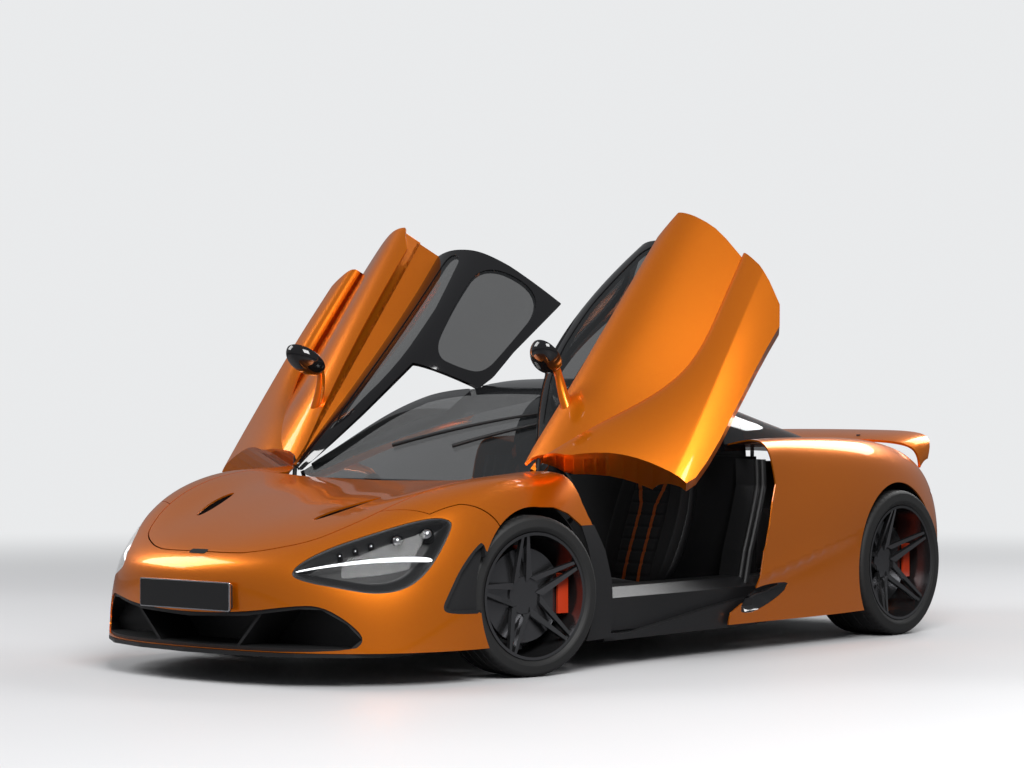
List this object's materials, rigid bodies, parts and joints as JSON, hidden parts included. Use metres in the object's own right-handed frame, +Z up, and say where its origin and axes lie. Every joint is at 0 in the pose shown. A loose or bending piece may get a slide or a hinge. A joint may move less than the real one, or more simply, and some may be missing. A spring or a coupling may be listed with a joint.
{
  "type": "supercar",
  "caption": "Low mid-engined two-seat car with upward-swinging doors standing open, steered front wheels, opening hood, lifting rear wing and rolling wheels.",
  "frame": {"origin": "on the ground under the middle of the car's length and width", "axes": "+Z up, the car faces -Y, +X is its left side"},
  "size_m": [2.8178, 4.5398, 1.9394],
  "materials": {
    "paint": "gloss metallic",
    "gloss_black": "gloss",
    "carbon": "satin",
    "trim_black": "matte",
    "frame_black": "satin",
    "upright": "cast and painted",
    "rim": "satin",
    "tyre": "matte",
    "glass": "tinted",
    "lamp": "gloss",
    "tail_lamp": "gloss",
    "engine": "cast",
    "exhaust": "brushed",
    "seat": "soft",
    "interior": "soft",
    "plate": "satin"
  },
  "bodies": {
    "body": {"tub": "carbon", "suspension": "frame_black", "luggage_tub": "trim_black", "front_ducts": "trim_black", "splitter": "carbon", "undertray": "trim_black", "diffuser": "carbon", "arch_liners": "trim_black", "sills": "carbon", "front_bumper": "paint", "front_fenders": "paint", "rear_quarters": "paint", "engine_deck": "paint", "rear_bumper": "paint", "headlamps": "lamp", "tail_lamps": "tail_lamp", "roof_frame": "gloss_black", "windscreen": "glass", "rear_screen": "glass", "engine": "engine", "exhausts": "exhaust", "seats": "seat", "dashboard": "interior", "console": "interior", "wipers": "trim_black", "number_plate": "plate", "rear_knuckles": "upright"},
    "hood": {"hood": "paint"},
    "rear_wing": {"rear_wing": "paint"},
    "steering_wheel": {"steering_wheel": "interior"},
    "door_left": {"door_left": "paint", "door_frame_left": "gloss_black", "door_glass_left": "glass", "mirror_left": "paint"},
    "steer_left": {"knuckle_front_left": "upright"},
    "wheel_front_left": {"rim_front_left": "rim", "tyre_front_left": "tyre"},
    "wheel_rear_left": {"rim_rear_left": "rim", "tyre_rear_left": "tyre"},
    "door_right": {"door_right": "paint", "door_frame_right": "gloss_black", "door_glass_right": "glass", "mirror_right": "paint"},
    "steer_right": {"knuckle_front_right": "upright"},
    "wheel_front_right": {"rim_front_right": "rim", "tyre_front_right": "tyre"},
    "wheel_rear_right": {"rim_rear_right": "rim", "tyre_rear_right": "tyre"}
  },
  "joints": [
    {"name": "door_left_hinge", "type": "hinge", "parent": "body", "child": "door_left", "pos_m": [0.6785, -0.8976, 0.787], "axis": [-0.5333, 0.7337, 0.421], "range_deg": [0, 71]},
    {"name": "door_right_hinge", "type": "hinge", "parent": "body", "child": "door_right", "pos_m": [-0.6785, -0.8976, 0.787], "axis": [-0.5333, -0.7337, -0.421], "range_deg": [0, 71]},
    {"name": "hood_hinge", "type": "hinge", "parent": "body", "child": "hood", "pos_m": [0, -1.105, 0.755], "axis": [-1, 0, 0], "range_deg": [0, 60]},
    {"name": "wing_slide", "type": "slide", "parent": "body", "child": "rear_wing", "axis": [0, 0, 1], "range_m": [0, 0.1]},
    {"name": "steer_left_kingpin", "type": "hinge", "parent": "body", "child": "steer_left", "pos_m": [0.815, -1.1965, 0.327], "axis": [0, 0, 1], "range_deg": [-20.5, 43.5]},
    {"name": "steer_right_kingpin", "type": "hinge", "parent": "body", "child": "steer_right", "pos_m": [-0.815, -1.1965, 0.327], "axis": [0, 0, 1], "range_deg": [-20.5, 43.5]},
    {"name": "wheel_front_left_spin", "type": "hinge", "parent": "steer_left", "child": "wheel_front_left", "pos_m": [0.83656, -1.20089, 0.327], "axis": [0.9799, -0.1994, 0], "continuous": true},
    {"name": "wheel_front_right_spin", "type": "hinge", "parent": "steer_right", "child": "wheel_front_right", "pos_m": [-0.83656, -1.19211, 0.327], "axis": [0.9799, -0.1994, 0], "continuous": true},
    {"name": "wheel_rear_left_spin", "type": "hinge", "parent": "body", "child": "wheel_rear_left", "pos_m": [0.8145, 1.4735, 0.345], "axis": [1, 0, 0], "continuous": true},
    {"name": "wheel_rear_right_spin", "type": "hinge", "parent": "body", "child": "wheel_rear_right", "pos_m": [-0.8145, 1.4735, 0.345], "axis": [1, 0, 0], "continuous": true},
    {"name": "steering_column_turn", "type": "hinge", "parent": "body", "child": "steering_wheel", "pos_m": [0.37, -0.505, 0.716], "axis": [0, 0.9544, 0.2986], "range_deg": [-287, 609]}
  ],
  "couplings": [
    {"joint": "steer_right_kingpin", "follows": "steer_left_kingpin", "ratio": 1},
    {"joint": "steering_column_turn", "follows": "steer_left_kingpin", "ratio": 14}
  ]
}
